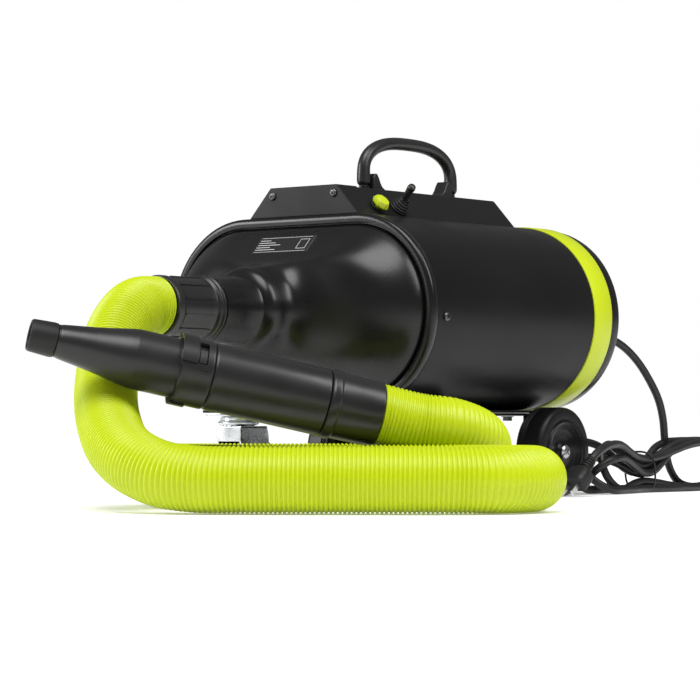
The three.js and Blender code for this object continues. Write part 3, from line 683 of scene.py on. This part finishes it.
# ---- control box ----
BOX_TOP = 324
BOX_FOOT = 292.5
TOP_W = 44.5
FOOT_W = 73
CAP_FRONT = 5.2
CAP_REAR = 39


def box_section(grow=0.0):
    return [
        (-FOOT_W - grow, BOX_FOOT), (FOOT_W + grow, BOX_FOOT), (TOP_W + grow, BOX_TOP + grow),
        (-TOP_W - grow, BOX_TOP + grow),
    ]


bevel(
    piece("switch_box", prism(box_section(-0.8), 8.3, 284), "machine", PANEL,
          ["control_box"]),
    1.6,
    4,
)
bevel(
    piece("switch_box_cap", prism(box_section(), CAP_FRONT, CAP_REAR), "machine", PANEL,
          ["control_box_front"]),
    1.1,
    3,
)


def screw_head(radius, height):
    """A domed head standing on local z 0, with its foot just under the surface."""
    return lathe(
        [(0, -0.5), (radius, -0.5), (radius, height * 0.45), (radius * 0.72, height * 0.9),
         (0, height)], 40, False, 0.5,
    )


def add_screw(name, radius, place, node, finish=DARK_STEEL, height=2.6):
    """A screw head with a cross cut into it."""
    made = piece(name, screw_head(radius, height), "machine", finish, [node], place)
    reach, half = radius * 0.58, radius * 0.12
    for spin in (45, 135):
        bar = slab((-reach, -half, height * 0.35), (reach, half, height * 2))
        carve(made, moved(bar, place @ turn("Z", spin)))


for side, word in ((-1, "left"), (1, "right")):
    add_screw(
        f"box_screw_{word}", 4.3, shift(side * 41, CAP_FRONT, BOX_TOP - 9) @ FORWARD,
        f"front_plate_screw_{word}",
    )
    add_screw(
        f"casing_screw_{word}", 4.6,
        shift(side * HALF_W, 20, AXIS_Z - 7) @ (RIGHT if side > 0 else LEFT),
        f"side_screw_{word}",
    )

# ---- switches, on the slanted side of the box ----
SLOPE = math.degrees(math.atan2(FOOT_W - TOP_W, BOX_TOP - BOX_FOOT))
SWITCH_X = 64.2
SWITCH_Z = BOX_TOP - (SWITCH_X - TOP_W) / (FOOT_W - TOP_W) * (BOX_TOP - BOX_FOOT)
BUTTON_Y = 49
TOGGLE_Y = 84
LEVER_TILT = 12


def on_slope(y):
    """A place on the slanted side, with local Z out of it."""
    return shift(SWITCH_X, y, SWITCH_Z) @ turn("Y", 90 - SLOPE)


piece(
    "reset_bezel",
    lathe([(5.8, -0.8), (8.8, -0.8), (8.8, 0.8), (8.2, 1.5), (5.8, 1.5)], 48),
    "machine", RUBBER, ["breaker_bezel"], on_slope(BUTTON_Y),
)


def faceted_knob():
    """An eight-sided knob with a crowned top."""
    corners = [math.radians(22.5 + 45 * i) for i in range(8)]
    rings = []
    for r, h in ((5, 3.8), (9.5, 3.8), (10, 4.4), (10, 5.6), (8.3, 9.5), (7.4, 10.5), (6, 10.8)):
        rings.append([(r * math.cos(t), r * math.sin(t), h) for t in corners])
    return loft(rings)


def knob_stem():
    return lathe([(0, -3), (5, -3), (5, 4.6), (0, 4.6)], 32, False)


bevel(
    piece(
        "reset_knob", merged(faceted_knob(), knob_stem()), "breaker", LIME,
        ["breaker_button"], on_slope(BUTTON_Y), crease=25,
    ),
    0.5,
    2,
    20,
)
piece(
    "switch_boot",
    lathe(
        [(6, -0.8), (10.6, -0.8), (10.8, 1.4), (10, 2.2), (10.3, 3.4), (9.9, 4.2), (8.9, 4.6),
         (9.2, 5.8), (8.8, 6.8), (7.8, 7.2), (8, 8.4), (7.6, 9.4), (6.6, 10), (6.6, 11.6),
         (5.9, 12.6), (5.2, 12.4), (5.6, 8), (6, 4)], 56, True, 0.35,
    ),
    "machine", RUBBER, ["toggle_boot"], on_slope(TOGGLE_Y),
)
LEVER_PLACE = on_slope(TOGGLE_Y) @ turn("X", LEVER_TILT)
piece(
    "switch_lever",
    lathe([(0, -4), (3, -4), (3.3, 8), (4, 13), (3.4, 14.6), (3.5, 21), (3.9, 25), (4.2, 29),
           (0, 29)], 32, False, 0.5),
    "toggle", SATIN, ["toggle_lever"], LEVER_PLACE,
)
piece(
    "switch_lever_tip",
    lathe([(0, 28), (4.1, 28), (4.4, 29), (4.3, 31.6), (3.3, 34), (0, 34.9)], 32, False, 0.8),
    "toggle", TIP, (), LEVER_PLACE,
)

# ---- handle ----
LEG_FRONT = 106.5
LEG_REAR = 261.5
PIVOT_Z = 338
HANDLE_TOP = 380.5
GRIP_R = 6.8


def handle_path():
    """Up the front leg, over the flattened arch and down the rear leg."""
    middle = (LEG_FRONT + LEG_REAR) / 2
    half = (LEG_REAR - LEG_FRONT) / 2
    foot, spring = PIVOT_Z - 6.4, PIVOT_Z + 8
    arch = []
    for i in range(29):
        t = math.pi * i / 28
        across = math.copysign(abs(math.cos(t)) ** 0.74, math.cos(t))
        rise = (HANDLE_TOP - spring) * math.sin(t) ** 0.9
        arch.append((0, middle - half * across, spring + rise))
    front = [(0, LEG_FRONT, foot + (spring - foot) * i / 3) for i in range(3)]
    rear = [(0, LEG_REAR, spring - (spring - foot) * i / 3) for i in range(1, 4)]
    return front + arch + rear


def grip_radius(total):
    """The grip's radius along its length: a little fuller near each end, and rounded off."""
    def radius(travelled):
        end = min(travelled, total - travelled)
        if end < 3:
            return GRIP_R - 1.6 * (1 - end / 3) ** 2
        return GRIP_R + 0.45 * math.exp(-((end - 8) / 9) ** 2)

    return radius


grip_path = smooth_path(handle_path(), 1.6)
stubs = []
for y in (LEG_FRONT, LEG_REAR):
    for z in (PIVOT_Z - 7.4, PIVOT_Z - 9):
        stubs.append(moved(
            lathe([(0, -0.4), (5.2, -0.4), (5.2, 0.4), (0, 0.4)], 32, False, 0.25), shift(0, y, z),
        ))
    stubs.append(moved(
        lathe([(0, -10), (4.4, -10), (4.4, -5), (0, -5)], 32, False, 0.4), shift(0, y, PIVOT_Z),
    ))
piece(
    "carry_grip",
    merged(sweep(grip_path, grip_radius(path_length(grip_path)), 36), *stubs),
    "handle", SATIN, ["handle_grip"],
)


def ear(side):
    """One end of the bracket: an upright knuckle whose inner edge sweeps down to the strip."""
    leg = LEG_FRONT if side < 0 else LEG_REAR
    face = leg - side * 7.3
    low = BOX_TOP + 0.3
    outline = [(face, low), (face, 338)]
    outline += [(face - side * 1.6, 342.5), (face - side * 4, 344.6), (face - side * 7, 344.2)]
    outline += [(face - side * 10, 340), (face - side * 12.5, 335), (face - side * 16, 330.6)]
    outline += [(face - side * 21, 327.8), (face - side * 28, 326.6), (face - side * 28, low)]
    return prism(outline if side < 0 else outline[::-1], -8, 8, "yz")


strip = slab((-10.5, 98, BOX_TOP + 0.3), (10.5, 270, BOX_TOP + 2.5))
bevel(
    piece("grip_bracket", merged(strip, ear(-1), ear(1)), "machine", SATIN,
          ["handle_bracket"]),
    1.0,
    3,
)

# ---- running gear ----
WHEEL_R = 47.5
WHEEL_Y = 251
WHEEL_IN = 127
WHEEL_W = 34
CASTER_X = 113
CASTER_Y = 34
CASTER_TRAIL = 22
CASTER_R = 32
PLATE_GAP = 0.3
PLATE_THICK = 2.6
PLATE_BOTTOM = AXIS_Z - HALF_H - PLATE_GAP - PLATE_THICK


def tyre_profile():
    """From the inner face across the tread to the outer face, with fine ribs near the inside."""
    w, r = WHEEL_W, WHEEL_R
    profile = [(33.2, 1.2), (40, 0.4), (r - 2.4, 0.8), (r - 0.3, 2.4)]
    for i in range(4):
        x = 3.4 + i * 2
        profile += [(r, x), (r, x + 1), (r - 0.9, x + 1.3), (r - 0.9, x + 1.7)]
    profile += [(r, 11.8), (r, w - 5), (r - 0.8, w - 2.6), (r - 2.8, w - 0.9), (r - 6, w - 0.2),
                (r - 10, w), (36.6, w), (35.8, w - 1.2), (34.8, w - 1.2), (33.2, w - 0.9)]
    return profile


HUB_PROFILE = [
    (5.4, -6.3), (12, -6.3), (12.6, 3), (28, 5), (32.9, 2), (32.9, WHEEL_W - 1.4),
    (32.4, WHEEL_W - 0.4), (31.4, WHEEL_W - 0.2), (29.4, WHEEL_W - 1.4), (24, WHEEL_W - 3.2),
    (17, WHEEL_W - 4.2), (10.4, WHEEL_W - 4.4), (9.6, WHEEL_W - 2), (5.4, WHEEL_W - 2),
]


def finish_node(name, finish, width=0.0):
    """Gives a CAD node that stays in view its surface, and rounds its edges."""
    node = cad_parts[name]
    node.data.materials.clear()
    node.data.materials.append(finish)
    if width:
        bevel(node, width, 2)


for side, word in ((-1, "left"), (1, "right")):
    outward = RIGHT if side > 0 else LEFT
    wheel = shift(side * WHEEL_IN, WHEEL_Y, WHEEL_R) @ outward
    piece(f"rear_tread_{word}", lathe(tyre_profile(), 96, True, 0.5), f"rear_wheel_{word}", TREAD,
          [f"rear_tyre_{word}"], wheel)
    piece(f"rear_disc_{word}", lathe(HUB_PROFILE, 96, True, 0.7), f"rear_wheel_{word}", WHEEL,
          [f"rear_hub_{word}"], wheel)
    add_screw(f"hub_screw_{word}", 7.4, wheel @ shift(0, 0, WHEEL_W - 1.4),
              f"wheel_screw_{word}", STEEL, height=3.6)

    caster = shift(side * CASTER_X, CASTER_Y, 0)
    bevel(
        piece(f"caster_top_{word}",
              slab((-25, -25, PLATE_BOTTOM - 3.3), (25, 25, PLATE_BOTTOM - 0.3)),
              "machine", ZINC, [f"caster_plate_{word}"], caster),
        0.8,
    )
    race_top = PLATE_BOTTOM - 3.6
    race = lathe(
        [(0, race_top - 13), (14, race_top - 13), (17, race_top - 10), (21.5, race_top - 8.6),
         (22, race_top - 6.4), (19, race_top - 4.6), (19.4, race_top - 2), (17.6, race_top - 0.2),
         (0, race_top)], 64, False, 0.9,
    )
    cheek = [(-15, race_top - 11), (-16.4, race_top - 26), (-15, race_top - 31)]
    cheek += [(-4, race_top - 37), (CASTER_TRAIL - 9, CASTER_R - 3)]
    cheek += arc(CASTER_TRAIL, CASTER_R, 8.2, 200, 360, 10)
    cheek += [(CASTER_TRAIL + 9, CASTER_R + 12), (30, race_top - 20), (27, race_top - 11)]
    cheeks = [prism(cheek, -17, -14.8, "yz"), prism(cheek, 14.8, 17, "yz")]
    crown = slab((-17, -15, race_top - 13.4), (17, 27, race_top - 10.6))
    apron = slab((-17, -16.4, race_top - 27), (17, -14, race_top - 11.4))
    bevel(
        piece(f"caster_yoke_{word}", merged(race, crown, apron, *cheeks),
              f"caster_swivel_{word}", ZINC, [f"caster_fork_{word}"], caster),
        0.9,
        3,
    )
    roller = caster @ shift(0, CASTER_TRAIL, CASTER_R) @ RIGHT
    r = CASTER_R
    piece(
        f"caster_roller_tread_{word}",
        lathe([(22.4, -9.6), (24.5, -10.8), (r - 3, -10.8), (r - 0.6, -8.6), (r, -6), (r, 6),
               (r - 0.6, 8.6), (r - 3, 10.8), (24.5, 10.8), (22.4, 9.6)], 72, True, 0.8),
        f"caster_roller_{word}", TREAD, [f"caster_wheel_{word}"], roller,
    )
    piece(
        f"caster_roller_hub_{word}",
        lathe([(4.4, -12), (9, -12), (10.4, -8), (20, -7.4), (22.3, -9.4), (22.3, 9.4), (20, 7.4),
               (10.4, 8), (9, 12), (4.4, 12)], 72, True, 0.6),
        f"caster_roller_{word}", SATIN, (), roller,
    )
    nut = lathe([(0, 16.9), (6.2, 16.9), (6.2, 19.4), (4, 20.4), (0, 20.4)], 6, False, 0.4)
    axle = lathe([(0, -17.6), (4, -17.6), (4, 17.6), (0, 17.6)], 32, False, 0.3)
    far_nut = moved(nut, turn("Y", 180))
    piece(f"caster_bolt_{word}", merged(axle, nut, far_nut), f"caster_swivel_{word}", STEEL,
          [f"caster_axle_{word}"], roller, crease=25)
    finish_node(f"axle_bracket_{word}", PANEL, 0.6)
    finish_node(f"base_bolt_{word}", DARK_STEEL, 0.6)
    finish_node(f"motor_shell_{word}", ALLOY, 0.6)
    finish_node(f"rotor_{word}", STEEL)

for node_name, node_finish, width in (
    ("filter_foam", FOAM, 0), ("motor_bulkhead", ALLOY, 0), ("base_plate", PANEL, 0.8),
    ("rear_axle", STEEL, 0.5), ("handle_pin_front", STEEL, 0.3), ("handle_pin_rear", STEEL, 0.3),
):
    finish_node(node_name, node_finish, width)

# ---- the hose's cuff on the spout ----
CUFF_PLACE = shift(0, 0, AXIS_Z) @ FORWARD
CUFF_PROFILE = [
    (26.2, 150.3), (32.6, 150.3), (33.4, 151.4), (33.4, 153.6), (32, 154.6), (31.6, 155.6),
    (32, 156.6), (33.3, 157.6), (33.3, 160), (32, 161), (30.9, 162), (30.5, 168),
    (30.3, 190), (30.3, 208), (30.9, 209.6), (31, 217), (30.2, 219), (26.2, 219),
]
cuff_ribs = []
for i in range(12):
    bar = slab((29.6, -0.7, 164), (31.3, 0.7, 207))
    cuff_ribs.append(moved(bar, turn("Z", 15 + 30 * i)))
piece("spout_cuff", merged(lathe(CUFF_PROFILE, 96, True, 0.5), *cuff_ribs), "machine", SATIN,
      ["outlet_cuff"], CUFF_PLACE)

# ---- handpiece, along local Z from the hose's end ----
HAND_END = Vector((261, -201, 86))
HAND_TIP = Vector((60, -450, 158))
HAND_AIM = (HAND_TIP - HAND_END).normalized()
HAND_LENGTH = (HAND_TIP - HAND_END).length
HAND_SIDE = Vector((0, 0, 1)).cross(HAND_AIM).normalized()
HAND_UP = HAND_AIM.cross(HAND_SIDE)
HAND_PLACE = Matrix.Translation(HAND_END + HAND_AIM) @ Matrix(
    (HAND_SIDE, HAND_UP, HAND_AIM)
).transposed().to_4x4()

piece(
    "grip_cuff",
    lathe([(26, 0), (29.6, 0), (30.2, 1.2), (30.4, 20), (30.6, 41), (31.6, 42.2), (32, 43.6),
           (32, 48), (31.6, 49.6), (31, 50.6), (30.2, 51.3), (26, 51.3)], 96, True, 0.5),
    "machine", SATIN, ["hand_cuff"], HAND_PLACE,
)
piece(
    "grip_tube",
    lathe([(27.2, 51.8), (30, 51.8), (31, 52.8), (31, 100), (31, 158.6), (30.6, 160.2),
           (29.8, 161), (27.2, 161)], 96, True, 0.6),
    "machine", SATIN, ["hand_tube"], HAND_PLACE,
)


def ring_sector(inner, outer, low, high, start, end):
    """Part of a ring about local Z, between two heights and two angles."""
    steps = max(3, round(abs(end - start) / 4))
    outline = arc(0, 0, outer, start, end, steps) + arc(0, 0, inner, end, start, steps)
    return prism(outline, low, high, "xy")


COLLAR = 161.3
LUG_AT = 29
LUG_Z = COLLAR + 11.5
collar = piece(
    "locking_collar",
    lathe([(28.6, COLLAR), (30.2, COLLAR), (31.2, COLLAR + 1.2), (31.4, COLLAR + 2.4),
           (31.4, 188), (31.2, 190.4), (30.4, 191.7), (28.6, 191.7)], 120, True, 0.4),
    "machine", SATIN, ["bayonet_collar"], HAND_PLACE,
)
for opposite in (0, 180):
    carve(collar, moved(
        ring_sector(24, 36, LUG_Z - 4.3, LUG_Z + 4.3, LUG_AT - 15 + opposite,
                    LUG_AT + 30 + opposite),
        HAND_PLACE,
    ))
details = []
for opposite in (0, 180):
    details.append(ring_sector(30.8, 33.2, LUG_Z + 5.4, 192.6, 14 + opposite, 104 + opposite))
    details.append(ring_sector(30.8, 33.6, 190, 193.4, 100 + opposite, 110 + opposite))
    for row in range(2):
        angle = 4 - row * 5 + opposite
        details.append(ring_sector(31, 32, COLLAR + 4, COLLAR + 12, angle, angle + 1.6))
bevel(
    piece("collar_tabs", merged(*details), "machine", SATIN, (), HAND_PLACE),
    0.5,
    2,
)
SHOULDER = 232
TIP_AT = 303
nozzle_profile = [
    (24.5, COLLAR + 4), (27.4, COLLAR + 4), (27.6, 190), (27.2, 193), (27.4, 196), (27.4, 226),
    (27.2, SHOULDER), (26.2, SHOULDER + 6), (24.6, SHOULDER + 14), (22.4, SHOULDER + 25),
    (20.2, SHOULDER + 37), (18.2, SHOULDER + 50), (16.6, SHOULDER + 61), (15.6, 299), (15, 301),
    (15, 302.7), (12.4, 302.7), (15, SHOULDER + 54), (22, SHOULDER + 16), (24.5, SHOULDER),
]
lugs = [
    ring_sector(26.4, 30.3, LUG_Z - 3.2, LUG_Z + 3.2, LUG_AT - 13 + k, LUG_AT + 13 + k)
    for k in (0, 180)
]
piece(
    "tapered_nozzle", merged(lathe(nozzle_profile, 96, True, 0.6), *lugs), "nozzle_end", SATIN,
    ["nozzle"], HAND_PLACE,
)
piece(
    "nozzle_mouth",
    lathe([(12.2, TIP_AT), (14.8, TIP_AT), (15.6, TIP_AT + 1), (15.9, TIP_AT + 4), (15.4, 316),
           (14.8, HAND_LENGTH - 2.4), (14, HAND_LENGTH - 0.6), (13, HAND_LENGTH),
           (12, HAND_LENGTH - 0.8)], 96, True, 0.5),
    "nozzle_end", RUBBER, ["nozzle_tip"], HAND_PLACE,
)

# ---- gland, tie and plug ----
gland_profile = [(0, 0.3), (10.8, 0.3), (10.8, 5), (9, 7.4)]
for row in range(6):
    h = 8.4 + row * 4.2
    r = 8 - row * 0.36
    gland_profile += [(r, h), (r, h + 2.2), (r - 1.5, h + 2.5), (r - 1.5, h + 3.6)]
gland_profile += [(5.6, 33.4), (0, 33.8)]
piece("cord_gland", lathe(gland_profile, 40, False, 0.3), "machine", RUBBER,
      ["cable_gland"], shift(*GLAND) @ BACKWARD)

tie_points = []
for i in range(41):
    t = 2 * math.pi * i / 40
    c, s = math.cos(t), math.sin(t)
    x = HANK_X + 16.6 * math.copysign(abs(c) ** 0.7, c)
    z = 23.4 + 22.4 * math.copysign(abs(s) ** 0.7, s)
    tie_points.append(Vector((x, TIE_Y + 5 * c - 3 * s, max(z, 1.2))))
tie_points[-1] = tie_points[0] + Vector((0, 0, 0.2))
piece("wire_tie", sweep(smooth_path(tie_points, 1.5), 1.15, 12), "machine", CABLE,
      ["cord_tie"], crease=180)

PLUG_AIM = Vector((0, -0.8, -0.6))
PLUG_TURN = Vector((0, 0, 1)).rotation_difference(PLUG_AIM)
PLUG_PLACE = shift(*PLUG_ENTRY) @ PLUG_TURN.to_matrix().to_4x4()
relief_profile = [(0, 0)]
for row in range(4):
    h = 0.4 + row * 4
    r = 5.6 + row * 0.42
    relief_profile += [(r, h), (r + 0.2, h + 2.2), (r - 1.2, h + 2.5), (r - 1.2, h + 3.6)]
relief_profile += [(7.2, 16.8), (7.2, 20), (0, 20)]


def plug_shell():
    """A moulded plug body: rounded oblongs that swell to the face the pins stand on."""
    rings = []
    for h, half_w, half_d in (
        (16, 6, 6), (17.6, 8.6, 7.4), (20, 11, 8.8), (23.5, 13, 9.8), (29, 13.8, 10),
        (36, 13.9, 10), (39.4, 13.7, 9.8), (41.4, 13, 9.2), (42, 12, 8.4),
    ):
        ring = []
        for i in range(48):
            t = 2 * math.pi * i / 48
            c, s = math.cos(t), math.sin(t)
            ring.append((half_w * math.copysign(abs(c) ** 0.5, c),
                         half_d * math.copysign(abs(s) ** 0.5, s), h))
        rings.append(ring)
    return loft(rings)


piece("mains_plug", merged(plug_shell(), lathe(relief_profile, 36, False, 0.3)), "machine",
      RUBBER, ["plug_body"], PLUG_PLACE)
finish_node("plug_pin_left", PIN, 0.3)
finish_node("plug_pin_right", PIN, 0.3)

# ---- the hose's route, sampled every 5 mm and put in metres; the result is not kept ----
[at(p) for p in smooth_path(HOSE_ROUTE, 5)]

# ---- floor and light ----
floor_mesh = bpy.data.meshes.new("floor")
floor_mesh.from_pydata([(-15, -15, 0), (15, -15, 0), (15, 15, 0), (-15, 15, 0)], [], [(0, 1, 2, 3)])
floor = bpy.data.objects.new("floor", floor_mesh)
bpy.context.collection.objects.link(floor)
floor_mesh.materials.append(
    material(
        "pale_floor", (0.9, 0.9, 0.9), 0.6, grain=60, bump=0.02, shade=0.01, blotch=1, glow=0.2
    )
)

world = bpy.data.worlds.new("studio")
bpy.context.scene.world = world
world.use_nodes = True
bpy.context.scene.view_settings.view_transform = "Standard"


def set_world(lit, seen):
    """A pale room: its light has the strength lit, and it looks as bright as seen."""
    nodes, links = world.node_tree.nodes, world.node_tree.links
    room = nodes["Background"]
    room.inputs["Color"].default_value = (1, 1, 1, 1)
    room.inputs["Strength"].default_value = lit
    backdrop = nodes.new("ShaderNodeBackground")
    backdrop.inputs["Color"].default_value = (1, 1, 1, 1)
    backdrop.inputs["Strength"].default_value = seen
    ray = nodes.new("ShaderNodeLightPath")
    choose = nodes.new("ShaderNodeMixShader")
    links.new(ray.outputs["Is Camera Ray"], choose.inputs["Fac"])
    links.new(room.outputs["Background"], choose.inputs[1])
    links.new(backdrop.outputs["Background"], choose.inputs[2])
    links.new(choose.outputs["Shader"], nodes["World Output"].inputs["Surface"])


set_world(0.2, 1.0)


def aimed(name, data, position, target):
    """Puts a light at a position, pointing at a target."""
    light = bpy.data.objects.new(name, data)
    light.location = at(position)
    direction = at(target) - at(position)
    light.rotation_euler = direction.to_track_quat("-Z", "Y").to_euler()
    bpy.context.collection.objects.link(light)


def softbox(name, position, target, size, power):
    data = bpy.data.lights.new(name, "AREA")
    data.shape = "RECTANGLE"
    data.size, data.size_y = size
    data.energy = power
    aimed(name, data, position, target)


sky = bpy.data.lights.new("overhead", "SUN")
sky.energy = 2.9
sky.angle = math.radians(40)
aimed("overhead", sky, (500, -900, 2400), (60, 0, 200))
softbox("left_front", (-1500, -1500, 900), (0, -100, 150), (0.9, 0.9), 30)
softbox("right_side", (1500, 300, 1500), (100, 100, 180), (0.8, 1.2), 22)
